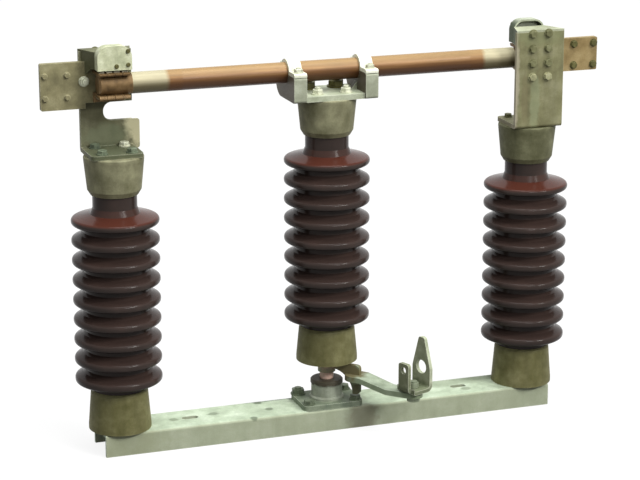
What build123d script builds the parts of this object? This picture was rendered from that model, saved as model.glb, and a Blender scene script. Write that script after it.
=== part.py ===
"""Double-break centre-rotating disconnect switch on three porcelain posts, all sizes in mm."""

from build123d import *
from math import cos, radians, sin
import os

os.makedirs("parts", exist_ok=True)

# Base channel, web up, resting on the edges of its flanges
stack_spacing = 400.0
base_end = 38.0
base_width = 90.0
base_height = 42.0
base_web = 6.0
base_flange = 7.0
base_corner = 5.0
slot_spread = 268.0
slot_length = 32.0
slot_width = 14.0

# Solid-core posts: porcelain between a bottom cap and a top cap
porcelain_length = 363.0
shed_count = 9
shed_first = 20.0
neck_length = 49.5
shed_radius = 79.0
core_radius = 59.0
neck_radius = 40.0
foot_radius = 49.0
shed_edge = 6.4
shed_rise = 14.5
shed_fall = 4.5
shed_crown = 6.0
shed_root = 5.0
top_cap_height = 70.0
top_cap_radius = 54.0
top_cap_lower = 48.5
bottom_cap_height = 75.0
centre_cap_height = 67.0
bottom_cap_radius = 57.0
bottom_cap_upper = 52.0
cap_bevel = 9.0
cap_bolt_offset = 27.0
cap_bolt_hole = 13.0
cap_bolt_depth = 20.0

# Centre bearing and spindle
bearing_plate_length = 116.0
bearing_plate_width = 88.0
bearing_plate_t = 10.0
housing_radius = 29.0
housing_height = 30.0
housing_foot = 4.0
seal_radius = 30.5
seal_height = 8.0
spindle_radius = 13.0
spindle_entry = 7.0
bearing_gap = 0.08
flange_t = 9.0
flange_radius = 46.0
flange_seat_gap = 0.3
centre_raise = 87.0

# Operating lever: collar on the spindle, cranked web over the bearing, flat arm to the link
lever_angle = -47.5
lever_length = 181.0
lever_height = 40.0
lever_t = 10.0
lever_root = 62.0
lever_root_radius = 21.0
lever_tip_radius = 17.0
lever_joggle = 14.0
lever_joggle_start = 78.0
lever_joggle_end = 132.0
collar_radius = 16.5
collar_drop = 5.0
collar_height = 20.0
crank_t = 9.0
crank_reach = 71.0
crank_foot = 14.0
crank_drop = 14.0
crank_corner = 7.0

# Link clamp and its pin at the end of the lever
lever_pin_radius = 7.0
pin_head_radius = 12.0
pin_head_height = 8.0
pin_nut_radius = 9.5
pin_nut_height = 9.0
clamp_width = 46.0
clamp_low_width = 26.0
clamp_t = 7.0
clamp_lift = 0.6
clamp_gap = 38.0
clamp_bend = 12.0
clamp_low_arm = 58.0
clamp_tall_arm = 100.0
clamp_apex = 14.0
clamp_eye = 13.0
clamp_eye_height = 43.0
clamp_bolt_hole = 13.0
clamp_turn = 22.0

# Blade, its plated ends and contact heads, and the saddles it lies in
blade_above_post = 127.0
blade_radius = 19.0
blade_wall = 4.0
blade_reach = 275.0
plug_length = 30.0
head_lead = 34.0
head_past = 26.0
head_flat = 2.0
head_bevel = 3.0
saddle_offset = 68.0
saddle_t = 24.0
saddle_width = 106.0
saddle_back_corner = 30.0
saddle_corner = 5.0
saddle_web = 12.0
mount_plate_t = 10.0
mount_plate_width = 96.0
strap_wall = 6.0
strap_foot_t = 7.0
strap_gap = 1.0

# Fixed contacts, drawn at the right post with the blade entering from +Y
bracket_t = 8.0
bracket_inner = 46.0
bracket_outer = 49.0
bracket_back = 48.0
bracket_foot_depth = 88.0
bracket_bend = 6.5
wide_inner = 59.0
wide_below_blade = 73.0
notch_height = 33.0
notch_reach = 53.0
hood_above_blade = 54.0
hood_t = 3.5
hood_depth = 45.0
hood_clear = 27.0
cheek_low = 8.0
cheek_rise_at = 26.0
shield_width = 62.0
shield_corner = 20.0
shield_centre = -2.0
shield_depth = 21.0
shield_t = 3.0
shield_top = 70.0
bar_t = 10.0
bar_inner = 32.0
bar_half = 37.0
pad_end = 121.0
pad_centre = 93.0
pad_pitch = 40.0
pad_hole = 11.0
pad_height_right = 62.0
pad_height_left = 84.0
finger_count = 4
finger_width = 13.0
finger_pitch = 14.0
finger_t = 5.0
finger_reach = 25.0
finger_foot = 18.0
finger_foot_t = 6.0
finger_bend = 4.0
finger_lead = 3.0
finger_gap = 0.4
spring_t = 1.5
spring_rise = 1.6
spring_end = 12.0

base_length = 2 * (stack_spacing + base_end)
base_top = base_height
post_height = bottom_cap_height + porcelain_length + top_cap_height
post_top = base_top + post_height
blade_z = post_top + blade_above_post
centre_foot = base_top + centre_raise
centre_top = centre_foot + centre_cap_height + porcelain_length + top_cap_height
housing_low = base_top + bearing_plate_t
housing_top = housing_low + housing_height + seal_height
lever_z = base_top + lever_height
lever_top = lever_z + lever_t
hood_z = blade_z + hood_above_blade
head_start = stack_spacing - head_lead
tip_reach = stack_spacing + head_past
contact_near = blade_radius - head_flat + finger_gap
bar_face = -bracket_back + bracket_t + bar_t


def write(shape, name):
    shape.label = name
    export_step(shape, f"parts/{name}.step")


def box(x0, x1, y0, y1, z0, z1):
    centre = Pos((x0 + x1) / 2, (y0 + y1) / 2, (z0 + z1) / 2)
    return centre * Box(x1 - x0, y1 - y0, z1 - z0)


def rod(x, y, z0, z1, radius):
    return Pos(x, y, (z0 + z1) / 2) * Cylinder(radius, z1 - z0)


def face(*points):
    return make_face(Polyline(*points, close=True))


def rounded(flat, radius, chosen):
    """The flat shape with the chosen ones of its corners rounded."""
    return fillet(flat.vertices().filter_by(chosen), radius)


def turned(flat):
    return revolve(Plane.XZ * flat, Axis.Z)


def square_spots(offset):
    return [(x, y) for x in (-offset, offset) for y in (-offset, offset)]


def bolt_holes(z0, z1):
    return [rod(x, y, z0, z1, cap_bolt_hole / 2) for x, y in square_spots(cap_bolt_offset)]


def shed_heights():
    pitch = (porcelain_length - neck_length - shed_first) / (shed_count - 1)
    return [shed_first + number * pitch for number in range(shed_count)]


def porcelain():
    """Turned body with its row of round-edged sheds, from its lower end up."""
    points = [(0, 0), (foot_radius, 0)]
    for number, z in enumerate(shed_heights()):
        below = core_radius if number else foot_radius
        above = core_radius if number < shed_count - 1 else neck_radius
        crown = 0 if number < shed_count - 1 else shed_crown
        points += [
            (below, z - shed_fall - shed_root),
            (below + shed_root, z - shed_fall),
            (shed_radius, z - shed_edge),
            (shed_radius, z + shed_edge),
            (above + shed_root, z + shed_rise),
            (above, z + shed_rise + shed_root + crown),
        ]
    points += [(neck_radius, porcelain_length), (0, porcelain_length)]
    return turned(rounded(face(*points), shed_edge * 0.96, lambda v: v.X > shed_radius - 0.01))


def top_cap():
    """Iron cap with a bevelled lower lip, from the end of the porcelain up."""
    flat = face(
        (0, 0),
        (neck_radius + 3, 0),
        (top_cap_lower, cap_bevel),
        (top_cap_radius, top_cap_height - 6),
        (top_cap_radius, top_cap_height),
        (0, top_cap_height),
    )
    flat = rounded(flat, 2.5, lambda v: v.X > top_cap_lower - 1 and v.Y != top_cap_height - 6)
    return turned(flat) - bolt_holes(top_cap_height - cap_bolt_depth, top_cap_height + 1)


def bottom_cap(height, seat):
    """Flared iron foot, with a seat in its underside where the spindle's flange goes."""
    flat = face(
        (0, 0),
        (bottom_cap_radius, 0),
        (bottom_cap_radius, 8),
        (bottom_cap_upper, height - 5),
        (bottom_cap_upper - 2, height),
        (0, height),
    )
    flat = rounded(flat, 2.5, lambda v: v.X > bottom_cap_upper - 1 and v.Y > 1)
    cap = turned(flat) - bolt_holes(-1, cap_bolt_depth + seat)
    if seat:
        cap -= rod(0, 0, -1, seat, flange_radius + flange_seat_gap)
    return cap


def base():
    """Rolled channel with its web up and holes for the posts, bearing and frame bolts."""
    half = base_length / 2
    side = base_width / 2
    outer = box(-half, half, -side, side, 0, base_height)
    outer = fillet(outer.edges().filter_by(Axis.X).group_by(Axis.Z)[-1], base_corner)
    inner = box(-half - 1, half + 1, -side + base_flange, side - base_flange, -1, base_height - base_web)
    inner = fillet(inner.edges().filter_by(Axis.X).group_by(Axis.Z)[-1], base_corner)
    channel = outer - inner
    for stack in (-stack_spacing, stack_spacing):
        for hole in bolt_holes(base_height - base_web - 1, base_height + 1):
            channel -= Pos(stack, 0, 0) * hole
    for x in (-slot_spread, slot_spread):
        slot = extrude(SlotOverall(slot_length, slot_width), base_web + 2)
        channel -= Pos(x, 0, base_height - base_web - 1) * slot
    return channel


def bearing_plate():
    half = bearing_plate_length / 2
    side = bearing_plate_width / 2
    plate = box(-half, half, -side, side, base_top, housing_low)
    plate = fillet(plate.edges().filter_by(Axis.Z), 10)
    return plate - rod(0, 0, base_top - 1, housing_low + 1, spindle_radius + bearing_gap)


def bearing_housing():
    """Upright bearing body with a foot flange and a seal ring round its top."""
    bore = spindle_radius + bearing_gap
    seal_low = housing_top - seal_height
    flat = face(
        (bore, housing_low),
        (housing_radius + 3, housing_low),
        (housing_radius + 3, housing_low + housing_foot),
        (housing_radius, housing_low + housing_foot + 3),
        (housing_radius, seal_low),
        (seal_radius, seal_low),
        (seal_radius, housing_top - 2),
        (seal_radius - 2, housing_top),
        (bore, housing_top),
    )
    return turned(flat)


def spindle():
    """Shaft in the bearing, with the flange that sits in the centre post's foot."""
    shaft = rod(0, 0, housing_low - spindle_entry, centre_foot, spindle_radius)
    flange = rod(0, 0, centre_foot, centre_foot + flange_t, flange_radius)
    return shaft + flange - bolt_holes(centre_foot - 1, centre_foot + flange_t + 1)


def lever():
    """Collar on the spindle, web cranked down past the bearing, and the joggled arm."""
    collar_top = centre_foot - collar_drop
    low = lever_z - crank_drop
    bend = crank_reach - crank_foot - spindle_radius
    outline = face((spindle_radius, low), (crank_reach, low), (crank_reach, collar_top), (spindle_radius, collar_top))
    outline = rounded(outline, crank_corner, lambda v: v.X > crank_reach - 1)
    outline -= Pos(spindle_radius, low) * Circle(bend)
    web = extrude(Plane.XZ * outline, crank_t / 2, both=True)
    ends = Pos(lever_root, 0) * Circle(lever_root_radius) + Pos(lever_length, 0) * Circle(lever_tip_radius)
    plan = Pos(0, 0, low) * extrude(make_hull(ends.edges()), collar_top - low)
    start = lever_root - lever_root_radius
    end = lever_length + lever_tip_radius
    bar = face(
        (start, lever_z + lever_joggle),
        (lever_joggle_start, lever_z + lever_joggle),
        (lever_joggle_end, lever_z),
        (end, lever_z),
        (end, lever_top),
        (lever_joggle_end, lever_top),
        (lever_joggle_start, lever_top + lever_joggle),
        (start, lever_top + lever_joggle),
    )
    arm = plan & extrude(Plane.XZ * bar, lever_root_radius, both=True)
    body = rod(0, 0, collar_top - collar_height, collar_top, collar_radius) + web + arm
    body -= rod(0, 0, low - 1, collar_top + 1, spindle_radius)
    body -= rod(lever_length, 0, lever_z - 1, lever_top + 1, lever_pin_radius)
    return Rot(0, 0, lever_angle) * body


def lever_end():
    angle = radians(lever_angle)
    return (lever_length * cos(angle), lever_length * sin(angle))


def link_pin():
    x, y = lever_end()
    foot_top = lever_top + clamp_lift + clamp_t
    nut_low = foot_top + clamp_lift
    shaft = rod(x, y, lever_z - pin_head_height, nut_low + pin_nut_height + 3, lever_pin_radius - bearing_gap)
    head = rod(x, y, lever_z - pin_head_height, lever_z, pin_head_radius)
    nut = rod(x, y, nut_low, nut_low + pin_nut_height, pin_nut_radius)
    return shaft + head + nut


def link_clamp():
    """Bent fork for the link pipe, one arm short and one drawn up to a point with an eye."""
    low = lever_top + clamp_lift
    half = clamp_gap / 2
    side = clamp_width / 2
    outer = half + clamp_t
    fork = box(-outer, outer, -side, side, low, low + clamp_tall_arm)
    fork = fillet(fork.edges().filter_by(Axis.Y).group_by(Axis.Z)[0], clamp_bend)
    inside = box(-half, half, -side - 1, side + 1, low + clamp_t, low + clamp_tall_arm + 1)
    inside = fillet(inside.edges().filter_by(Axis.Y).group_by(Axis.Z)[0], clamp_bend - clamp_t)
    fork -= inside
    tall = face(
        (-side, 0),
        (side, 0),
        (side, clamp_eye_height),
        (clamp_apex / 2, clamp_tall_arm),
        (-clamp_apex / 2, clamp_tall_arm),
        (-side, clamp_eye_height),
    )
    tall = rounded(tall, 5, lambda v: v.Y > clamp_eye_height + 1) - Pos(0, clamp_eye_height) * Circle(clamp_eye)
    short = Pos(0, clamp_low_arm / 2) * RectangleRounded(clamp_low_width, clamp_low_arm, 5)
    short -= Pos(0, clamp_low_arm - clamp_bolt_hole) * Circle(clamp_bolt_hole / 2)
    foot = Rectangle(clamp_width, 2 * (clamp_t + clamp_bend))
    arms = Plane.YZ.offset(half) * extrude(tall + foot, outer)
    arms = Pos(0, 0, low) * arms
    short_arm = Pos(0, 0, low) * (Plane.YZ.offset(-half) * extrude(short, -outer))
    middle = box(-half, half, -side, side, low - 1, low + clamp_tall_arm)
    body = fork & (arms + short_arm + middle)
    body -= rod(0, 0, low - 1, low + clamp_t + 1, lever_pin_radius)
    x, y = lever_end()
    return Pos(x, y, 0) * Rot(0, 0, clamp_turn) * body


def along_x(x0, x1, radius):
    return Pos((x0 + x1) / 2, 0, blade_z) * Rot(0, 90, 0) * Cylinder(radius, x1 - x0)


def mount_plate():
    """Plate on the centre post, between the two saddles."""
    inner = saddle_offset - saddle_t / 2
    side = mount_plate_width / 2
    plate = box(-inner, inner, -side, side, centre_top, centre_top + mount_plate_t)
    return plate - bolt_holes(centre_top - 1, centre_top + mount_plate_t + 1)


def saddle(x):
    """Upright block the blade lies in, with a rib down to the mount plate."""
    half = saddle_t / 2
    wide = saddle_width / 2
    top = blade_z - strap_gap
    block = box(x - half, x + half, -wide, wide, centre_top, top)
    edges = block.edges().filter_by(Axis.X).sort_by(Axis.Z)
    lower = edges[:2].sort_by(Axis.Y)
    block = fillet(lower[1], saddle_back_corner)
    block = fillet(block.edges().filter_by(Axis.X).sort_by(Axis.Y)[:2], saddle_corner)
    inward = -1 if x > 0 else 1
    inner = x + inward * half
    plate_top = centre_top + mount_plate_t
    rib = face((inner, plate_top), (inner + inward * saddle_web, plate_top), (inner, top - blade_radius - 4))
    block += extrude(Plane.XZ * rib, saddle_web / 2, both=True)
    return block - along_x(x - half - 1, x + half + 1, blade_radius)


def saddle_strap(x):
    half = saddle_t / 2
    wide = saddle_width / 2
    low = blade_z - strap_gap
    arch = along_x(x - half, x + half, blade_radius + strap_wall)
    feet = box(x - half, x + half, -wide, wide, low, low + strap_foot_t)
    feet = fillet(feet.edges().filter_by(Axis.X).group_by(Axis.Z)[-1], strap_foot_t * 0.6)
    body = arch + feet
    body -= box(x - half - 1, x + half + 1, -wide - 1, wide + 1, low - 2 * blade_radius, low)
    return body - along_x(x - half - 1, x + half + 1, blade_radius)


def blade_tube():
    inside = along_x(-blade_reach - 1, blade_reach + 1, blade_radius - blade_wall)
    return along_x(-blade_reach, blade_reach, blade_radius) - inside


def blade_tip():
    """Plated bar that plugs into the tube and carries the contact head."""
    plug = along_x(blade_reach - plug_length, blade_reach, blade_radius - blade_wall)
    return along_x(blade_reach, head_start, blade_radius) + plug


def contact_head():
    """Bar with a flat above and below, which slides between the fingers."""
    head = along_x(head_start, tip_reach, blade_radius)
    head = chamfer(head.edges().group_by(Axis.X)[-1], head_bevel)
    flat = blade_radius - head_flat
    for low, high in ((flat, 2 * flat), (-2 * flat, -flat)):
        head -= box(head_start - 1, tip_reach + 1, -2 * flat, 2 * flat, blade_z + low, blade_z + high)
    return head


def at_right(shape):
    return Pos(stack_spacing, 0, 0) * shape


def bracket(lower_inner, notched):
    """Bent plate: foot on the cap and upright behind the jaw."""
    back = -bracket_back
    foot = box(-bracket_inner, bracket_outer, back, back + bracket_foot_depth, post_top, post_top + bracket_t)
    foot = fillet(foot.edges().filter_by(Axis.Z).group_by(Axis.Y)[-1], 10)
    upright = box(-bracket_inner, bracket_outer, back, back + bracket_t, post_top, hood_z)
    body = foot + upright
    if lower_inner > bracket_inner:
        shoulder = blade_z - wide_below_blade
        wide = box(-lower_inner, 0, back, back + bracket_t, post_top, shoulder)
        body += fillet(wide.edges().filter_by(Axis.Y).group_by(Axis.X)[0], 5)
    bend = body.edges().filter_by(Axis.X).filter_by(
        lambda e: abs(e.center().Y - back) < 0.01 and e.center().Z < post_top + 1
    )
    body = fillet(bend, bracket_bend)
    body -= bolt_holes(post_top - 1, post_top + bracket_t + 1)
    if notched:
        low = blade_z - wide_below_blade
        notch = RectangleRounded(2 * notch_reach, notch_height, notch_height / 2 - 1)
        cut = Plane.XZ * Pos(-bracket_inner, low + notch_height / 2) * notch
        body -= Pos(0, back + bracket_t + 1, 0) * extrude(cut, bracket_t + 2)
    return at_right(body)


def terminal_bar(pad_height):
    """Flat bar on the plate's inner face that carries the fingers and ends in the pad."""
    top = blade_z + bar_half
    low = top - pad_height
    outline = face(
        (-bar_inner, blade_z - bar_half),
        (bracket_outer - 8, blade_z - bar_half),
        (bracket_outer - 8, low),
        (pad_end, low),
        (pad_end, top),
        (-bar_inner, top),
    )
    outline = rounded(outline, 3, lambda v: v.X > pad_end - 1)
    for x in (-pad_pitch / 2, pad_pitch / 2):
        for z in (-pad_pitch / 2, pad_pitch / 2):
            outline -= Pos(pad_centre + x, (low + top) / 2 + z) * Circle(pad_hole / 2)
    bar = extrude(Plane.XZ * outline, bar_t)
    return at_right(Pos(0, bar_face, 0) * bar)


def finger_spots():
    start = -finger_pitch * (finger_count - 1) / 2
    return [start + finger_pitch * n for n in range(finger_count)]


def finger_row(outline, width):
    """The same strip at every finger's place, drawn as its outline seen along X."""
    strip = extrude(Plane.YZ * outline, width / 2, both=True)
    return at_right(Compound(children=[Pos(x, 0, blade_z) * strip for x in finger_spots()]))


def fingers(side):
    """Bent contact strips on one face of the head, side +1 above and -1 below."""
    near = side * contact_near
    far = side * (contact_near + finger_t)
    foot_end = side * (contact_near + finger_foot)
    outline = face(
        (bar_face, near),
        (finger_reach - finger_lead, near),
        (finger_reach, near + side * finger_lead),
        (finger_reach, far),
        (bar_face + finger_foot_t, far),
        (bar_face + finger_foot_t, foot_end),
        (bar_face, foot_end),
    )
    inner = bar_face + finger_foot_t
    outline = rounded(outline, finger_bend * 0.5, lambda v: abs(v.X - inner) < 0.01 and abs(v.Y - far) < 0.01)
    outline = rounded(outline, finger_bend, lambda v: abs(v.X - bar_face) < 0.01 and abs(v.Y - near) < 0.01)
    return finger_row(outline, finger_width)


def springs(side):
    """Bowed leaf on the back of every finger."""
    start = bar_face + finger_foot_t + finger_bend
    middle = (start + spring_end) / 2
    low = contact_near + finger_t
    bow = [
        (start, side * low),
        (middle, side * (low + spring_rise)),
        (spring_end, side * low),
        (spring_end, side * (low + spring_t)),
        (middle, side * (low + spring_rise + spring_t)),
        (start, side * (low + spring_t)),
    ]
    lower = ThreePointArc(bow[0], bow[1], bow[2])
    upper = ThreePointArc(bow[3], bow[4], bow[5])
    outline = make_face([lower, Line(bow[2], bow[3]), upper, Line(bow[5], bow[0])])
    return finger_row(outline, finger_width - 3)


def shield_outline(wall):
    """Front view of the shield, round above and square below, drawn in by a wall."""
    top = blade_z + shield_top - wall
    low = blade_z + hood_clear - (1 if wall else 0)
    half = shield_width / 2 - wall
    outline = face(
        (shield_centre - half, low),
        (shield_centre + half, low),
        (shield_centre + half, top),
        (shield_centre - half, top),
    )
    return rounded(outline, shield_corner - wall, lambda v: v.Y > top - 1)


def shield():
    """Round-topped cup over the finger tips, closed to the front and open below."""
    front = hood_depth + shield_depth - bracket_back
    cup = Pos(0, front, 0) * extrude(Plane.XZ * shield_outline(0), shield_depth)
    inside = Pos(0, front - shield_t, 0) * extrude(Plane.XZ * shield_outline(shield_t), shield_depth)
    return at_right(cup - inside)


def hood():
    """Folded roof from the plate to the shield: slanted outer cheek and upright inner cheek."""
    back = -bracket_back
    front = back + hood_depth
    plate_face = back + bracket_t
    wide = shield_centre + shield_width / 2
    narrow = shield_centre - shield_width / 2
    roof = face((-bracket_inner, back), (bracket_outer, back), (wide, front), (narrow, front))
    roof = Pos(0, 0, hood_z) * extrude(roof, hood_t)
    drop = hood_above_blade - cheek_low
    outer_slope = (bracket_outer - wide) / hood_depth
    corner = bracket_outer - outer_slope * bracket_t
    slant = face((corner, plate_face), (wide, front), (wide - hood_t, front), (corner - hood_t, plate_face))
    outer = Pos(0, 0, hood_z - drop) * extrude(slant, drop)
    clear = face(
        (plate_face + 2, -1),
        (plate_face + cheek_rise_at, hood_clear - cheek_low),
        (front + 1, hood_clear - cheek_low),
        (front + 1, -1),
    )
    cutter = extrude(Plane.YZ * clear, 2 * bracket_outer, both=True)
    outer -= Pos(0, 0, hood_z - drop) * cutter
    outer -= box(0, 2 * bracket_outer, plate_face - 1, bar_face, blade_z - bar_half, blade_z + bar_half)
    inner_slope = (narrow + bracket_inner) / hood_depth
    edge = -bracket_inner + inner_slope * bracket_t
    flank = face((edge, plate_face), (narrow, front), (narrow + hood_t, front), (edge + hood_t, plate_face))
    inner = Pos(0, 0, blade_z + hood_clear) * extrude(flank, hood_z - blade_z - hood_clear)
    return at_right(roof + outer + inner)


def both(shape, name):
    write(shape, f"right_{name}")
    write(Rot(0, 0, 180) * shape, f"left_{name}")


write(base(), "base_channel")
for label, x, foot, cap_height, seat in (
    ("left", -stack_spacing, base_top, bottom_cap_height, 0),
    ("centre", 0.0, centre_foot, centre_cap_height, flange_t),
    ("right", stack_spacing, base_top, bottom_cap_height, 0),
):
    write(Pos(x, 0, foot) * bottom_cap(cap_height, seat), f"{label}_bottom_cap")
    write(Pos(x, 0, foot + cap_height) * porcelain(), f"{label}_porcelain")
    write(Pos(x, 0, foot + cap_height + porcelain_length) * top_cap(), f"{label}_top_cap")

write(bearing_plate(), "bearing_plate")
write(bearing_housing(), "bearing_housing")
write(spindle(), "spindle")
write(lever(), "operating_lever")
write(link_pin(), "link_pin")
write(link_clamp(), "link_clamp")
write(mount_plate(), "mount_plate")
for label, x in (("left", -saddle_offset), ("right", saddle_offset)):
    write(saddle(x), f"{label}_saddle")
    write(saddle_strap(x), f"{label}_saddle_strap")
write(blade_tube(), "blade_tube")
both(blade_tip(), "blade_tip")
both(contact_head(), "contact_head")
write(bracket(bracket_inner, False), "right_bracket")
write(Rot(0, 0, 180) * bracket(wide_inner, True), "left_bracket")
write(terminal_bar(pad_height_right), "right_terminal_bar")
write(Rot(0, 0, 180) * terminal_bar(pad_height_left), "left_terminal_bar")
both(fingers(1), "upper_fingers")
both(fingers(-1), "lower_fingers")
both(springs(1), "upper_springs")
both(springs(-1), "lower_springs")
both(hood(), "hood")
both(shield(), "contact_shield")
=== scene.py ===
"""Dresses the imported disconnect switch: finishes, fasteners, light and camera, in metres."""

import math

import bmesh
import bpy
from mathutils import Matrix, Vector


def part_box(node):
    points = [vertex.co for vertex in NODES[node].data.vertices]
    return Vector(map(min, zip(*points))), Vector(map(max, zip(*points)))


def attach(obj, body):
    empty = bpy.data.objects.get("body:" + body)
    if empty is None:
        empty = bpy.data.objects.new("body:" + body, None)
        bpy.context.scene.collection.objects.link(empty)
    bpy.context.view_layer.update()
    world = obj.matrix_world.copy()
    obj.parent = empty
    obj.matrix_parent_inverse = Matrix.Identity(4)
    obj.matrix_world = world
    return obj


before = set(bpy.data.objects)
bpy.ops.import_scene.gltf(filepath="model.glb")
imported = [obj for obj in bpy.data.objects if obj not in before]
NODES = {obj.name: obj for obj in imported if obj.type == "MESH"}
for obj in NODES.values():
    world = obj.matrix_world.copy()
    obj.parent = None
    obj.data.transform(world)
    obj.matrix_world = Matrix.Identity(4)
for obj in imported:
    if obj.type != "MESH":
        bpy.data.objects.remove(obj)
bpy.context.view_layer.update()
scene = bpy.context.scene
MM = 0.001
UP = (0, 0, 1)
WHITE = (1.0, 1.0, 1.0)

# Places and sizes that the CAD's boxes don't give
NECK_LENGTH = 49.5 * MM
FOOT_T = 8 * MM
STRAP_FOOT_T = 7 * MM
CAP_BOLT_OFFSET = 27 * MM
BEARING_BOLT_X = 46 * MM
BEARING_BOLT_Y = 32 * MM
STRAP_BOLT_Y = 40 * MM
PLATE_COLUMNS = (-14 * MM, 17 * MM)
BAR_BOLT_X = 43 * MM
BAR_BOLT_RISE = 2 * MM
SHIELD_WALL_Y = 18 * MM
PAD_INSET = 28 * MM
PAD_HALF_PITCH = 20 * MM
RIGHT_PAD_Z = 683 * MM
LEFT_PAD_Z = 672 * MM
BARE_COPPER_REACH = 304 * MM
# Width of the pale edge strips: partly wear, partly painted highlight
WEAR_AND_HIGHLIGHT_WIDTH = 2.2 * MM

# Bolt proportions: times the thread size, and the chamfer as a share
WASHER_RADIUS, WASHER_T, WASHER_SIDES = 1.05, 0.20, 24
HEAD_RADIUS, HEAD_HEIGHT, HEAD_SIDES = 0.92, 0.62, 6
STUD_RADIUS, STUD_SIDES = 0.48, 16
CHAMFER = 0.12

# Values of each noise at which its dark, middle and light tones lie
GLAZE_PLACES = (0.30, 0.55, 0.75)
BLOTCH_PLACES = (0.30, 0.50, 0.72)
STREAK_PLACES = (0.28, 0.55, 0.80)


# Shader nodes

def srgb(text):
    """Linear colour of a six-digit hex text."""
    values = [int(text[i:i + 2], 16) / 255 for i in (0, 2, 4)]
    return tuple(v / 12.92 if v <= 0.04045 else ((v + 0.055) / 1.055) ** 2.4 for v in values)


def grey(value):
    return (value, value, value)


def material(name):
    mat = bpy.data.materials.new(name)
    mat.use_nodes = True
    tree = mat.node_tree
    return mat, tree, tree.nodes["Principled BSDF"]


def node(tree, kind, **values):
    """New node, with each value set on its input socket or else on the node itself."""
    item = tree.nodes.new(kind)
    for key, value in values.items():
        if key in item.inputs:
            item.inputs[key].default_value = value
        else:
            setattr(item, key, value)
    return item


def feed(tree, socket, value):
    """Links another node's output to a socket, or sets the socket to a number or colour."""
    if isinstance(value, bpy.types.NodeSocket):
        tree.links.new(value, socket)
    else:
        socket.default_value = (*value, 1.0) if isinstance(value, tuple) else value


def part_of(tree, vector, axis):
    split = tree.nodes.new("ShaderNodeSeparateXYZ")
    tree.links.new(vector, split.inputs[0])
    return split.outputs[axis]


def stretched(tree, source, scale):
    mapping = node(tree, "ShaderNodeMapping", Scale=scale)
    tree.links.new(source, mapping.inputs["Vector"])
    return mapping.outputs["Vector"]


def noise(tree, source, scale, detail, rough=0.55):
    item = node(tree, "ShaderNodeTexNoise", Scale=scale, Detail=detail, Roughness=rough)
    tree.links.new(source, item.inputs["Vector"])
    return item.outputs["Fac"]


def ramp(tree, fac, places, colours):
    item = node(tree, "ShaderNodeValToRGB")
    elements = item.color_ramp.elements
    while len(elements) < len(places):
        elements.new(0.5)
    for element, place, colour in zip(elements, places, colours):
        element.position = place
        element.color = (*colour, 1.0)
    tree.links.new(fac, item.inputs["Fac"])
    return item.outputs["Color"]


def tones(tree, fac, places, palette):
    return ramp(tree, fac, places, [srgb(text) for text in palette])


def greys(tree, fac, places, values):
    return ramp(tree, fac, places, [grey(value) for value in values])


def mix(tree, fac, a, b, mode="MIX"):
    item = node(tree, "ShaderNodeMix", data_type="RGBA", blend_type=mode)
    colour_a, colour_b, result = item.inputs[6], item.inputs[7], item.outputs[2]
    feed(tree, item.inputs["Factor"], fac)
    feed(tree, colour_a, a)
    feed(tree, colour_b, b)
    return result


def combine(tree, operation, a, b=0.0):
    item = node(tree, "ShaderNodeMath", operation=operation)
    feed(tree, item.inputs[0], a)
    feed(tree, item.inputs[1], b)
    return item.outputs[0]


def mapped(tree, value, low, high, top=1.0):
    """Runs from 0 to top while value runs from low to high."""
    item = node(tree, "ShaderNodeMapRange", **{"From Min": low, "From Max": high, "To Max": top})
    tree.links.new(value, item.inputs["Value"])
    return item.outputs["Result"]


def bump(tree, shader, height, strength, distance):
    item = node(tree, "ShaderNodeBump", Strength=strength, Distance=distance)
    tree.links.new(height, item.inputs["Height"])
    tree.links.new(item.outputs["Normal"], shader.inputs["Normal"])


def rest_place(tree):
    """Position in the node's own frame, which doesn't move with the joints."""
    return tree.nodes.new("ShaderNodeTexCoord").outputs["Object"]


def rest_normal(tree, axis):
    return part_of(tree, tree.nodes.new("ShaderNodeTexCoord").outputs["Normal"], axis)


# Marks and wear

def ragged(tree, fac, amount):
    """Noise about zero, which roughens the edge of a mask."""
    return combine(tree, "MULTIPLY", combine(tree, "SUBTRACT", fac, 0.5), amount)


def spot(tree, place, centre, size, strength, rough_edge):
    """Mask of an ellipsoid by its centre and half sizes in millimetres, with a soft edge."""
    mapping = node(tree, "ShaderNodeMapping", vector_type="TEXTURE",
                   Location=[value * MM for value in centre], Scale=[value * MM for value in size])
    tree.links.new(place, mapping.inputs["Vector"])
    length = node(tree, "ShaderNodeVectorMath", operation="LENGTH")
    tree.links.new(mapping.outputs["Vector"], length.inputs[0])
    reach = combine(tree, "ADD", length.outputs["Value"], rough_edge)
    return mapped(tree, reach, low=1.25, high=0.75, top=strength)


def marked(tree, place, colour, marks):
    """Colour with marks laid over it: stains, painted shadows and painted light."""
    rough_edge = ragged(tree, noise(tree, place, scale=70.0, detail=5.0), amount=1.4)
    for centre, size, strength, target in marks:
        mask = spot(tree, place, centre, size, strength, rough_edge)
        colour = mix(tree, mask, colour, srgb(target))
    return colour


def painted_side_shading(tree, colour, sides):
    """Colour with a tone laid on the faces towards -X, -Y or -Z as painted light and shade: darker
    as painted shade on most finishes, paler as painted light on the right bracket.
    """
    for axis, strength, target in sides:
        mask = mapped(tree, rest_normal(tree, axis), low=-0.30, high=-0.85, top=strength)
        colour = mix(tree, mask, colour, srgb(target))
    return colour


def edge_wear_and_highlight(tree, colour, strength, target):
    """Colour with a pale strip along each edge: partly wear, where the finish is thin, and partly
    a painted highlight, where edges catch the light.
    """
    bevel = node(tree, "ShaderNodeBevel", samples=6, Radius=WEAR_AND_HIGHLIGHT_WIDTH)
    surface = tree.nodes.new("ShaderNodeNewGeometry")
    dot = node(tree, "ShaderNodeVectorMath", operation="DOT_PRODUCT")
    tree.links.new(bevel.outputs[0], dot.inputs[0])
    tree.links.new(surface.outputs["Normal"], dot.inputs[1])
    strip = mapped(tree, dot.outputs["Value"], low=0.995, high=0.86, top=strength)
    return mix(tree, strip, colour, srgb(target))


# Finishes

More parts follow.
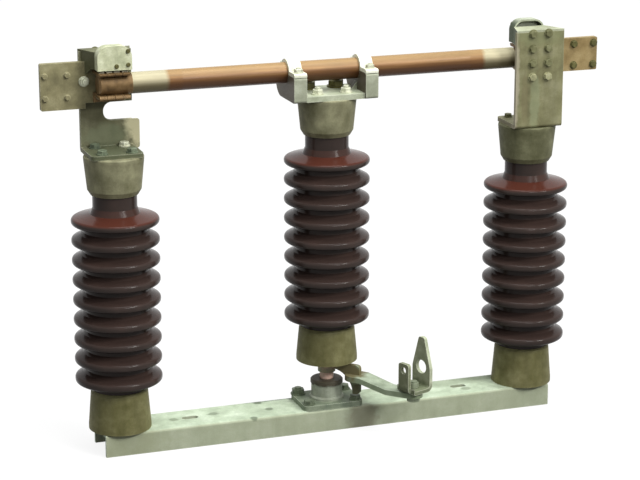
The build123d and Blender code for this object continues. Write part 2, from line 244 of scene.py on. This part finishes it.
def porcelain(name, top_shed):
    """Near-black brown glaze with painted light on its upper faces: slightly redder on every shed,
    and a redder, lighter brown on the top shed's upper face.
    """
    mat, tree, shader = material(name)
    place = rest_place(tree)
    blotch = noise(tree, place, scale=14.0, detail=5.0)
    fine = noise(tree, place, scale=160.0, detail=3.0)
    base = tones(tree, blotch, GLAZE_PLACES, ("322a27", "3a302c", "453732"))
    # painted light: upper faces tinted redder, most of all on the top shed
    up = mapped(tree, rest_normal(tree, "Z"), low=0.25, high=0.8)
    upper = mix(tree, combine(tree, "MULTIPLY", up, 0.5), base, srgb("392b27"))
    height = part_of(tree, place, "Z")
    high = mapped(tree, height, low=top_shed - 7 * MM, high=top_shed + 1 * MM)
    colour = mix(tree, combine(tree, "MULTIPLY", up, high), upper, srgb("4a281f"))
    tree.links.new(colour, shader.inputs["Base Color"])
    rough = greys(tree, fine, (0.3, 0.8), (0.15, 0.22))
    tree.links.new(rough, shader.inputs["Roughness"])
    shader.inputs["IOR"].default_value = 1.20
    shader.inputs["Specular IOR Level"].default_value = 0.5
    bump(tree, shader, blotch, strength=0.06, distance=0.003)
    return mat


def weathered(name, palette, rough, scale, metal=0.0, streaks=0.0, marks=(), sides=(), edge=None):
    """Mottled finish with fine grain, vertical streaks, painted light and shade on chosen sides,
    marks that are stains, painted shadows and painted light, and pale edges that are partly wear
    and partly painted highlight.
    """
    mat, tree, shader = material(name)
    place = rest_place(tree)
    blotch = noise(tree, place, scale, detail=6.0, rough=0.6)
    fine = noise(tree, place, scale=420.0, detail=4.0, rough=0.6)
    base = tones(tree, blotch, BLOTCH_PLACES, palette)
    speck = greys(tree, fine, (0.30, 0.62), (0.80, 1.0))
    colour = mix(tree, 0.6, base, speck, "MULTIPLY")
    if streaks:
        runs = noise(tree, stretched(tree, place, (60.0, 60.0, 6.0)), scale=1.0, detail=4.0)
        lines = greys(tree, runs, (0.35, 0.60), (1.0 - streaks, 1.0))
        colour = mix(tree, 1.0, colour, lines, "MULTIPLY")
    # painted light and shade on the faces towards the chosen axes
    colour = painted_side_shading(tree, colour, sides)
    if marks:
        colour = marked(tree, place, colour, marks)
    # pale edges: partly wear, partly painted highlight
    if edge:
        colour = edge_wear_and_highlight(tree, colour, *edge)
    tree.links.new(colour, shader.inputs["Base Color"])
    shine = greys(tree, fine, (0.3, 0.75), (rough - 0.08, rough + 0.08))
    tree.links.new(shine, shader.inputs["Roughness"])
    shader.inputs["Metallic"].default_value = metal
    shader.inputs["Specular IOR Level"].default_value = 0.22
    bump(tree, shader, fine, strength=0.3, distance=0.0008)
    return mat


def drawn(name, palette, rough, stain, top_highlight, under_shade, bare=None):
    """Drawn tube with streaks along X, a painted highlight on top, painted shade below, and bare
    copper inside bare.
    """
    mat, tree, shader = material(name)
    place = rest_place(tree)
    streak = noise(tree, stretched(tree, place, (3.0, 60.0, 60.0)), scale=3.0, detail=5.0)
    blotch = noise(tree, place, scale=18.0, detail=4.0)
    base = tones(tree, streak, STREAK_PLACES, palette)
    (highlight_strength, highlight_tone), (shade_strength, shade_tone) = top_highlight, under_shade
    highlight_tone, shade_tone = srgb(highlight_tone), srgb(shade_tone)
    if bare:
        reach = combine(tree, "ABSOLUTE", part_of(tree, place, "X"))
        reach = combine(tree, "ADD", reach, ragged(tree, blotch, amount=0.02))
        inner = mapped(tree, reach, low=bare + 4 * MM, high=bare - 4 * MM)
        base = mix(tree, inner, base, tones(tree, streak, STREAK_PLACES, COPPER))
        highlight_tone = mix(tree, inner, highlight_tone, srgb(COPPER_HIGHLIGHT))
        shade_tone = mix(tree, inner, shade_tone, srgb(COPPER_SHADE))
    stains = greys(tree, blotch, (0.40, 0.75), (1.0, stain))
    colour = mix(tree, 0.7, base, stains, "MULTIPLY")
    # painted highlight on the upper faces and painted shade on the lower faces
    height = rest_normal(tree, "Z")
    above = mapped(tree, height, low=0.25, high=0.85, top=highlight_strength)
    below = mapped(tree, height, low=0.40, high=-0.25, top=shade_strength)
    colour = mix(tree, below, mix(tree, above, colour, highlight_tone), shade_tone)
    tree.links.new(colour, shader.inputs["Base Color"])
    shader.inputs["Metallic"].default_value = 0.12
    shader.inputs["Specular IOR Level"].default_value = 0.35
    shine = greys(tree, streak, (0.3, 0.75), (rough, rough + 0.14))
    tree.links.new(shine, shader.inputs["Roughness"])
    bump(tree, shader, streak, strength=0.08, distance=0.0004)
    return mat


# Palettes: dark, middle and light tones
COPPER = ("6c4821", "835b2f", "9f7b4b")
# Painted highlight on top and painted shade below, for the copper
COPPER_HIGHLIGHT, COPPER_SHADE = "b49a6c", "492b10"
PLATING = ("978d70", "aba283", "bdb594")
# Painted highlight on top and painted shade below, for the plating
PLATING_HIGHLIGHT, PLATING_SHADE = "bab396", "50482e"
GALVANISED = ("abb99f", "becdb2", "d5e2ca")

# Marks, which are stains, painted shadows and painted light: centre and half sizes in millimetres,
# strength, colour
BASE_SHADOWS_AND_STAINS = [
    # painted shadow of the lever on the front face
    ((57, -46, 20), (27, 12, 60), 0.45, "7c725d"),
    # painted shadow of the bearing and centre post on the top, behind them
    ((-25, 30, 42), (40, 18, 8), 0.5, "647059"),
    # painted shadow of the lever and its web on the top
    ((60, 10, 42), (18, 40, 8), 0.4, "798068"),
    # painted shadow along the back edge, left of the bearing
    ((-95, 46, 42), (62, 9, 8), 0.7, "48584c"),
    # painted shadow of the right post along the back edge
    ((250, 34, 42), (170, 26, 8), 0.5, "879178"),
    # painted shadow of the right cap on the top, behind and left of it
    ((340, 36, 42), (60, 16, 8), 0.45, "646e58"),
    # darker round the front of the right cap's foot
    ((400, -30, 42), (80, 20, 8), 0.35, "737a63"),
    # small dark stains
    ((-157, -41, 42), (7, 6, 6), 0.8, "5f6a55"),
    ((-117, -4, 42), (8, 7, 6), 0.75, "5f6a55"),
    ((-126, 36, 42), (9, 8, 6), 0.8, "535f4a"),
    ((-300, -2, 42), (9, 8, 6), 0.6, "6c765d"),
    ((-222, 5, 42), (12, 7, 6), 0.6, "5f6a55"),
    ((276, -18, 42), (10, 8, 6), 0.6, "6c765d"),
    # painted shadow of the left cap on the front face
    ((-400, -46, 18), (70, 10, 40), 0.25, "8c8b68"),
]
HOUSING_MARKS = [((0, 0, 87), (60, 60, 8), 0.9, "362c1e")]
SPINDLE_MARKS = [((0, 0, 84), (60, 60, 7), 0.85, "3a2a1a")]
LEVER_MARKS = [
    ((0, 0, 118), (22, 22, 16), 0.9, "bfa593"),
    ((34, -34, 112), (30, 30, 26), 0.9, "6e6444"),
    ((48, -52, 72), (22, 22, 18), 0.9, "514e36"),
]
CLAMP_MARKS = [
    ((116, -132, 96), (46, 46, 16), 0.75, "4e573a"),
    ((104, -136, 130), (12, 24, 50), 0.7, "5b5f42"),
]
LEFT_PLATE_MARKS = [
    # painted shadow of the jaw on the plate
    ((-400, 44, 622), (60, 30, 22), 0.6, "4e4b33"),
    # painted light: a paler strip on the plate
    ((-336, 44, 596), (30, 40, 50), 0.85, "c7c29e"),
    ((-405, 44, 575), (40, 30, 22), 0.5, "6b735a"),
    # painted shade on the foot's top
    ((-400, -20, 560), (70, 60, 9), 0.85, "50563f"),
]
RIGHT_PLATE_MARKS = [
    # painted light: a pale strip at the plate's left edge
    ((353, -44, 640), (7, 20, 90), 0.5, "bcb29e"),
    ((392, -44, 600), (9, 20, 60), 0.45, "949c7a"),
    ((372, -44, 610), (6, 20, 50), 0.4, "746b50"),
    ((400, -44, 722), (50, 30, 16), 0.5, "7c815d"),
]

# Dark copper: the copper's own tone, darkened as painted shade under the hoods
FINGERS_IN_SHADE = weathered("finger_copper", ("4e3d26", "6c5536", "846b49"), rough=0.50, scale=60.0,
                    metal=0.3, edge=(0.35, "a88c65"))
PLATED = drawn("plated_copper", PLATING, rough=0.46, stain=0.85, top_highlight=(0.45, PLATING_HIGHLIGHT),
               under_shade=(0.9, PLATING_SHADE), bare=BARE_COPPER_REACH)

# Finishes of single nodes
OWN_FINISHES = {
    "base_channel": weathered(
        "base_finish", GALVANISED, rough=0.62, scale=30.0, streaks=0.10, marks=BASE_SHADOWS_AND_STAINS,
        # front faces toned darker olive: painted shade
        sides=[("Y", 0.60, "9b9c82")], edge=(0.35, "e9efe0")),
    "bearing_plate": weathered(
        "plate_finish", ("667260", "7a8570", "939d86"), rough=0.60, scale=40.0,
        edge=(0.5, "e0e9d2")),
    "bearing_housing": weathered(
        "housing_finish", ("8e9380", "a4ab99", "bbc2ae"), rough=0.55, scale=50.0, streaks=0.15,
        marks=HOUSING_MARKS),
    "spindle": weathered(
        "spindle_finish", ("c39c88", "dcbaa8", "e8d0c0"), rough=0.45, scale=60.0,
        marks=SPINDLE_MARKS),
    "operating_lever": weathered(
        "lever_finish", ("8a967f", "a3af98", "bfcbb3"), rough=0.60, scale=34.0, streaks=0.10,
        # front faces toned dark green: painted shade
        marks=LEVER_MARKS, sides=[("Y", 0.75, "707e5d")]),
    "link_pin": weathered(
        "pin_finish", ("67705a", "848c76", "a1a992"), rough=0.5, scale=60.0, metal=0.3),
    "link_clamp": weathered(
        "clamp_finish", ("9aa186", "b9bfa4", "d3d9be"), rough=0.58, scale=40.0,
        # -X faces toned darker: painted shade
        marks=CLAMP_MARKS, sides=[("X", 0.5, "62644a")], edge=(0.55, "dfe3cc")),
    "left_bracket": weathered(
        "left_bracket_finish", ("5c5d45", "6e6d54", "87866a"), rough=0.58, scale=22.0,
        streaks=0.20, marks=LEFT_PLATE_MARKS, edge=(0.4, "d3d5bb")),
    "right_bracket": weathered(
        "right_bracket_finish", ("6b684a", "858360", "9e9c7b"), rough=0.58, scale=22.0,
        # -X faces toned paler pinkish grey: painted light
        streaks=0.20, marks=RIGHT_PLATE_MARKS, sides=[("X", 0.4, "978d7c")],
        edge=(0.35, "c7c6a7")),
    # Darker copy of the hood finish, its outer -X cheek darker still: painted shade
    "left_hood": weathered(
        "left_hood_finish", ("4e4f34", "626347", "7b7c5f"), rough=0.58, scale=24.0,
        streaks=0.15, sides=[("X", 0.6, "43442c")], edge=(0.3, "b2b393")),
    "right_hood": weathered(
        "right_hood_finish", ("86896e", "a2a68b", "bdc2a6"), rough=0.58, scale=24.0,
        # -X cheek toned very dark green: painted shade
        streaks=0.10, sides=[("X", 0.92, "324024")], edge=(0.4, "dbdec7")),
    # Paler copy of the shield finish: painted light on its lit front
    "left_contact_shield": weathered(
        "left_shield_finish", ("a2a787", "c6caa7", "e3e6c8"), rough=0.50, scale=46.0,
        streaks=0.15),
    # Greyer copy of the shield finish, its -X flank dark green: painted shade
    "right_contact_shield": weathered(
        "right_shield_finish", ("898f7a", "a3a994", "bec5af"), rough=0.50, scale=46.0,
        sides=[("X", 0.92, "2f3d24")]),
    "left_terminal_bar": weathered(
        "left_bar_finish", ("736e51", "8a8462", "a49e7b"), rough=0.58, scale=30.0,
        streaks=0.12, edge=(0.3, "c3be9d")),
    "right_terminal_bar": weathered(
        "right_bar_finish", ("826e47", "98845a", "ae9b70"), rough=0.55, scale=40.0,
        streaks=0.10, edge=(0.3, "d3c498")),
    "blade_tube": drawn(
        "copper_tube", COPPER, rough=0.34, stain=0.72, top_highlight=(0.45, COPPER_HIGHLIGHT),
        under_shade=(0.95, COPPER_SHADE)),
    "left_blade_tip": PLATED,
    "right_blade_tip": PLATED,
    "left_contact_head": FINGERS_IN_SHADE,
    "right_contact_head": FINGERS_IN_SHADE,
    "centre_porcelain": porcelain(
        "porcelain_centre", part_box("centre_porcelain")[1][2] - NECK_LENGTH),
    "right_top_cap": weathered(
        "right_cap_iron", ("505036", "66664b", "828264"), rough=0.60, scale=30.0,
        streaks=0.15, edge=(0.35, "aba889")),
    "mount_plate": weathered(
        "mount_finish", ("8d947c", "a6ac93", "c1c6b0"), rough=0.50, scale=30.0,
        edge=(0.4, "e8ecd9")),
}

# Finishes of the other nodes, by the first of these words in the node's name
SHARED_FINISHES = {
    "porcelain": porcelain("porcelain_side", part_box("left_porcelain")[1][2] - NECK_LENGTH),
    "top_cap": weathered(
        "top_cap_iron", ("67664a", "817f63", "9d9c7b"), rough=0.60, scale=30.0,
        streaks=0.15, edge=(0.35, "b9b798")),
    "bottom_cap": weathered(
        "low_cap_iron", ("5d5b35", "726f49", "8b8861"), rough=0.60, scale=30.0,
        streaks=0.15, edge=(0.35, "a4a074")),
    "fingers": FINGERS_IN_SHADE,
    "springs": weathered(
        "spring_steel", ("918d7a", "aea993", "cac6b1"), rough=0.38, scale=60.0, metal=0.8),
    "strap": weathered(
        "strap_alloy", ("ced0b9", "e3e5d0", "efefe7"), rough=0.45, scale=30.0),
    "saddle": weathered(
        "saddle_alloy", ("858a76", "9ea28d", "bec3ae"), rough=0.50, scale=30.0, metal=0.1,
        # -X faces toned dark brown: painted shade
        sides=[("X", 0.9, "493d2f")], edge=(0.4, "e0e4d0")),
}


def finish_of(name):
    if name in OWN_FINISHES:
        return OWN_FINISHES[name]
    return next(finish for word, finish in SHARED_FINISHES.items() if word in name)


for name, item in NODES.items():
    item.data.materials.clear()
    item.data.materials.append(finish_of(name))

ZINC_BOLT = weathered(
    "bolt_zinc", ("acae97", "c8cab3", "e3e5d0"), rough=0.40, scale=80.0, metal=0.3)
OLIVE_BOLT = weathered(
    "bolt_olive", ("7d7c5f", "9b9a75", "b6b491"), rough=0.45, scale=80.0, metal=0.1)
PLATE_BOLT = weathered(
    "bolt_plate", ("5a5a3c", "70704f", "8a8a68"), rough=0.50, scale=80.0, metal=0.1)
DARK_BOLT = weathered(
    "bolt_dark", ("434124", "5a5732", "716e44"), rough=0.50, scale=80.0, metal=0.1)
GREEN_BOLT = weathered(
    "bolt_green", ("4a5344", "636d58", "7f8a72"), rough=0.50, scale=80.0, metal=0.1)


# Fasteners

def middle(name, axis):
    low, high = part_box(name)
    return (low[axis] + high[axis]) / 2


foot_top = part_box("right_bracket")[0][2] + FOOT_T
plate_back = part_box("right_bracket")[0][1]
bar_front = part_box("right_terminal_bar")[1][1]
mount_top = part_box("mount_plate")[1][2]
bearing_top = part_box("bearing_plate")[1][2]
strap_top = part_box("left_saddle_strap")[0][2] + STRAP_FOOT_T
saddle_x = middle("right_saddle_strap", 0)
blade_z = middle("blade_tube", 2)
stack = middle("right_porcelain", 0)
CORNERS = [(x, y) for x in (-1, 1) for y in (-1, 1)]
BRIGHT_FOOT = (1, 1)
LARGE_BEARING_BOLT = (-1, 1)
SHIELD_SCREWS_MM = ((374, 737), (374, 713), (395, 711))


def add_prism(mesh, place, axis, radius, height, sides, spin=0.0):
    """Closed prism from place along axis, with a small chamfer at its far end."""
    turn = Vector(UP).rotation_difference(axis).to_matrix().to_4x4()
    stand = Matrix.Translation(place) @ turn @ Matrix.Rotation(spin, 4, "Z")
    shoulder, end_radius = height * (1 - CHAMFER), radius * (1 - CHAMFER)
    angles = [2 * math.pi * n / sides for n in range(sides)]
    rings = []
    for z, r in ((0.0, radius), (shoulder, radius), (height, end_radius)):
        points = [Vector((r * math.cos(a), r * math.sin(a), z)) for a in angles]
        rings.append([mesh.verts.new(stand @ point) for point in points])
    for low, high in zip(rings, rings[1:]):
        for n in range(sides):
            m = (n + 1) % sides
            mesh.faces.new((low[n], low[m], high[m], high[n]))
    mesh.faces.new(list(reversed(rings[0])))
    mesh.faces.new(rings[-1])


def bolt(mesh, place, axis, size, spin, stud=0.0):
    """Washer and hex head of a bolt of thread size, and a stud end where one shows."""
    place, axis = Vector(place), Vector(axis)
    washer_top = place + axis * size * WASHER_T
    add_prism(mesh, place, axis, size * WASHER_RADIUS, size * WASHER_T, WASHER_SIDES)
    add_prism(mesh, washer_top, axis, size * HEAD_RADIUS, size * HEAD_HEIGHT, HEAD_SIDES, spin)
    if stud:
        head_top = washer_top + axis * size * HEAD_HEIGHT
        add_prism(mesh, head_top, axis, size * STUD_RADIUS, stud, STUD_SIDES)


def cap_bolt(mesh, post_x, corner, height, size, spin, stud=0.0):
    """One of the four bolts round the post at post_x."""
    x, y = corner
    place = (post_x + x * CAP_BOLT_OFFSET, y * CAP_BOLT_OFFSET, height)
    bolt(mesh, place, UP, size, spin, stud)


def left_foot_bolts(mesh):
    for n, corner in enumerate(CORNERS):
        if corner != BRIGHT_FOOT:
            cap_bolt(mesh, -stack, corner, foot_top, size=10 * MM, spin=0.2 + n)


def right_foot_bolts(mesh):
    for n, corner in enumerate(CORNERS):
        cap_bolt(mesh, stack, corner, foot_top, size=8 * MM, spin=0.2 + n)


def bearing_bolts(mesh):
    for n, corner in enumerate(CORNERS):
        # The back-left bolt is drawn larger, with a stud, standing in for a dark patch that is
        # partly the housing's shadow: painted shade.
        larger = 2.5 * MM if corner == LARGE_BEARING_BOLT else 0.0
        place = (corner[0] * BEARING_BOLT_X, corner[1] * BEARING_BOLT_Y, bearing_top)
        bolt(mesh, place, UP, size=11 * MM + larger, spin=0.4 + n, stud=larger)


def bright_bolts(mesh):
    """Pale zinc bolts of the left contact, one in its foot and one through bar and plate; their
    pale tone is partly a painted highlight, standing in for glints there.
    """
    cap_bolt(mesh, -stack, BRIGHT_FOOT, foot_top, size=10 * MM, spin=1.2)
    bar_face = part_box("left_terminal_bar")[0][1]
    place = (-stack - BAR_BOLT_X, bar_face, blade_z + BAR_BOLT_RISE)
    bolt(mesh, place, (0, -1, 0), size=9 * MM, spin=0.5, stud=3 * MM)


def plate_heads(mesh, rows):
    """Two columns of heads on the back of each bracket plate, at heights from the blade."""
    for side in (-1, 1):
        for column in PLATE_COLUMNS:
            for n, row in enumerate(rows):
                place = (side * (stack + column), side * plate_back, blade_z + row)
                bolt(mesh, place, (0, -side, 0), size=8.0 * MM, spin=column * 90 + n)


# The upper rows take the plate's dark tone and the lowest row a lighter finish: dark and light
# copies of one bolt, as painted shade and painted light.
def plate_bolts(mesh):
    plate_heads(mesh, rows=(51 * MM, 23 * MM, -4 * MM))


def plate_low_bolts(mesh):
    plate_heads(mesh, rows=(-30 * MM,))


def rotor_bolts(mesh):
    """Front bolts of the mount plate, and the bolts of the saddle straps."""
    for n, corner in enumerate(CORNERS):
        if corner[1] < 0:
            cap_bolt(mesh, 0.0, corner, mount_top, size=11 * MM, spin=0.2 + n, stud=4 * MM)
    for side in (-1, 1):
        for y in (-STRAP_BOLT_Y, STRAP_BOLT_Y):
            place = (side * saddle_x, y, strap_top)
            bolt(mesh, place, UP, size=8.5 * MM, spin=60 * y, stud=2 * MM)


# The back bolts are drawn larger and in the dark finish, standing in for the shade under the tube:
# painted shade.
def rotor_back_bolts(mesh):
    for n, corner in enumerate(CORNERS):
        if corner[1] > 0:
            cap_bolt(mesh, 0.0, corner, mount_top, size=16 * MM, spin=0.2 + n, stud=4 * MM)


def shield_screws(mesh):
    """Small dark screws on the closed wall of each shield."""
    for side in (-1, 1):
        for x, z in SHIELD_SCREWS_MM:
            place = (side * x * MM, side * SHIELD_WALL_Y, z * MM)
            bolt(mesh, place, (0, side, 0), size=3.8 * MM, spin=x + z)


def pad_heads(mesh, side, face, size):
    """Heads in the four pad holes of the contact on one side."""
    low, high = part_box("right_terminal_bar" if side > 0 else "left_terminal_bar")
    end, up = (high[0], RIGHT_PAD_Z) if side > 0 else (low[0], LEFT_PAD_Z)
    across = end - side * PAD_INSET
    for column, row in CORNERS:
        x, z = across + column * PAD_HALF_PITCH, up + row * PAD_HALF_PITCH
        bolt(mesh, (x, face, z), (0, -1, 0), size, spin=x * 30 + z)


def pad_bolts(mesh):
    pad_heads(mesh, 1, plate_back + FOOT_T, size=7.0 * MM)


def pad_plugs(mesh):
    pad_heads(mesh, -1, -bar_front, size=5.5 * MM)


def piece(name, body, mat, build):
    mesh = bmesh.new()
    build(mesh)
    data = bpy.data.meshes.new(name)
    mesh.to_mesh(data)
    mesh.free()
    item = bpy.data.objects.new(name, data)
    scene.collection.objects.link(item)
    data.materials.append(mat)
    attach(item, body)


piece("left_foot_bolts", "frame", GREEN_BOLT, left_foot_bolts)
piece("right_foot_bolts", "frame", PLATE_BOLT, right_foot_bolts)
piece("bearing_bolts", "frame", GREEN_BOLT, bearing_bolts)
piece("bright_bolts", "frame", ZINC_BOLT, bright_bolts)
piece("plate_bolts", "frame", PLATE_BOLT, plate_bolts)
piece("plate_low_bolts", "frame", OLIVE_BOLT, plate_low_bolts)
piece("rotor_bolts", "rotor", ZINC_BOLT, rotor_bolts)
piece("rotor_back_bolts", "rotor", DARK_BOLT, rotor_back_bolts)
piece("shield_screws", "frame", DARK_BOLT, shield_screws)
piece("pad_bolts", "frame", DARK_BOLT, pad_bolts)
piece("pad_plugs", "frame", finish_of("left_terminal_bar"), pad_plugs)


# Background, floor, lamps and camera
FLOOR_HALF_SIZE = 15.0
FLOOR_DROP = 0.5 * MM
SHADOW_SHARE = 0.16
AIM = Vector((0, 0, 0.35))
LAMP_DISTANCE = 2.4

# The camera is solved from the photograph: its place and its aim are azimuth and rise in degrees
CAMERA_DISTANCE = 4.09736
CAMERA_PLACE = (-19.58, 15.39)
CAMERA_AIM = (-19.40, 15.29)
LENS_MM, SENSOR_WIDTH_MM = 124.64, 36.0


def seen_rays(tree):
    """1 for rays from the camera, or through a reflection or clear part, and 0 for the rest."""
    path = tree.nodes.new("ShaderNodeLightPath")
    pair = combine(tree, "ADD", path.outputs["Is Camera Ray"], path.outputs["Is Glossy Ray"])
    total = combine(tree, "ADD", pair, path.outputs["Is Transmission Ray"])
    return combine(tree, "MINIMUM", total, 1.0)


def blended(tree, fac, a, b):
    """Shader that is a where fac is 0 and b where it is 1."""
    item = tree.nodes.new("ShaderNodeMixShader")
    for socket, value in zip(item.inputs, (fac, a, b)):
        feed(tree, socket, value)
    return item.outputs[0]


def only_output(tree, kind):
    """Clears the tree and gives it one output node."""
    tree.nodes.clear()
    return tree.nodes.new(kind)


def build_world():
    """White for the rays that are seen, and for the rest a soft sky that is dark below."""
    world = bpy.data.worlds.new("world")
    scene.world = world
    world.use_nodes = True
    tree = world.node_tree
    out = only_output(tree, "ShaderNodeOutputWorld")
    seen = node(tree, "ShaderNodeBackground", Color=(*WHITE, 1.0))
    lit = node(tree, "ShaderNodeBackground", Strength=0.8)
    direction = tree.nodes.new("ShaderNodeTexCoord").outputs["Generated"]
    rise = mapped(tree, part_of(tree, direction, "Z"), low=-1.0, high=1.0)
    sky = greys(tree, rise, (0.0, 0.45, 0.55, 0.75, 1.0), (0.05, 0.10, 0.22, 0.75, 1.25))
    tree.links.new(sky, lit.inputs["Color"])
    shown = blended(tree, seen_rays(tree), lit.outputs[0], seen.outputs[0])
    tree.links.new(shown, out.inputs[0])


def build_floor():
    """Pale floor that keeps the object's shadow and throws little light up at it."""
    mat = bpy.data.materials.new("floor")
    mat.use_nodes = True
    tree = mat.node_tree
    out = only_output(tree, "ShaderNodeOutputMaterial")
    glow = node(tree, "ShaderNodeEmission", Color=(*WHITE, 1.0), Strength=1.03)
    shaded = node(tree, "ShaderNodeBsdfDiffuse", Color=(*grey(0.9), 1.0))
    dull = node(tree, "ShaderNodeBsdfDiffuse", Color=(*grey(0.08), 1.0))
    pale = blended(tree, SHADOW_SHARE, glow.outputs[0], shaded.outputs[0])
    shown = blended(tree, seen_rays(tree), dull.outputs[0], pale)
    tree.links.new(shown, out.inputs[0])
    mesh = bmesh.new()
    bmesh.ops.create_grid(mesh, x_segments=1, y_segments=1, size=FLOOR_HALF_SIZE)
    data = bpy.data.meshes.new("floor")
    mesh.to_mesh(data)
    mesh.free()
    data.materials.append(mat)
    floor = bpy.data.objects.new("floor", data)
    scene.collection.objects.link(floor)
    floor.location.z = -FLOOR_DROP


def toward(azimuth, rise):
    """Unit vector to a point at an azimuth from the front, rightwards, and a rise, in degrees."""
    a, r = math.radians(azimuth), math.radians(rise)
    return Vector((math.sin(a) * math.cos(r), -math.cos(a) * math.cos(r), math.sin(r)))


def facing(direction):
    """Rotation of a lamp or camera that looks along direction."""
    return direction.to_track_quat("-Z", "Y").to_euler()


def lamp(name, direction, distance, energy, colour=WHITE, angle=None, sides=None):
    """Sun of one angle, or an area lamp by its two sides, aimed at the object's middle."""
    data = bpy.data.lights.new(name, "AREA" if sides else "SUN")
    data.energy = energy
    data.color = colour
    if sides:
        data.shape = "RECTANGLE"
        data.size, data.size_y = sides
    else:
        data.angle = angle
    item = bpy.data.objects.new(name, data)
    scene.collection.objects.link(item)
    item.location = AIM + direction * distance
    item.rotation_euler = facing(-direction)


def build_camera():
    data = bpy.data.cameras.new("camera")
    data.lens = LENS_MM
    data.sensor_width = SENSOR_WIDTH_MM
    data.clip_end = 50.0
    camera = bpy.data.objects.new("camera", data)
    scene.collection.objects.link(camera)
    camera.location = AIM + CAMERA_DISTANCE * toward(*CAMERA_PLACE)
    camera.rotation_euler = facing(-toward(*CAMERA_AIM))
    scene.camera = camera


scene.view_settings.view_transform = "Standard"
build_world()
build_floor()
lamp("key", toward(36, 38), distance=4.0, energy=1.58, colour=(1.0, 0.985, 0.95),
     angle=math.radians(14))
lamp("front", toward(9.4, 30), LAMP_DISTANCE, energy=15.5, sides=(0.75, 0.16))
lamp("top", toward(10, 80), LAMP_DISTANCE, energy=44, colour=(0.97, 1.0, 1.0), sides=(1.6, 1.6))
build_camera()
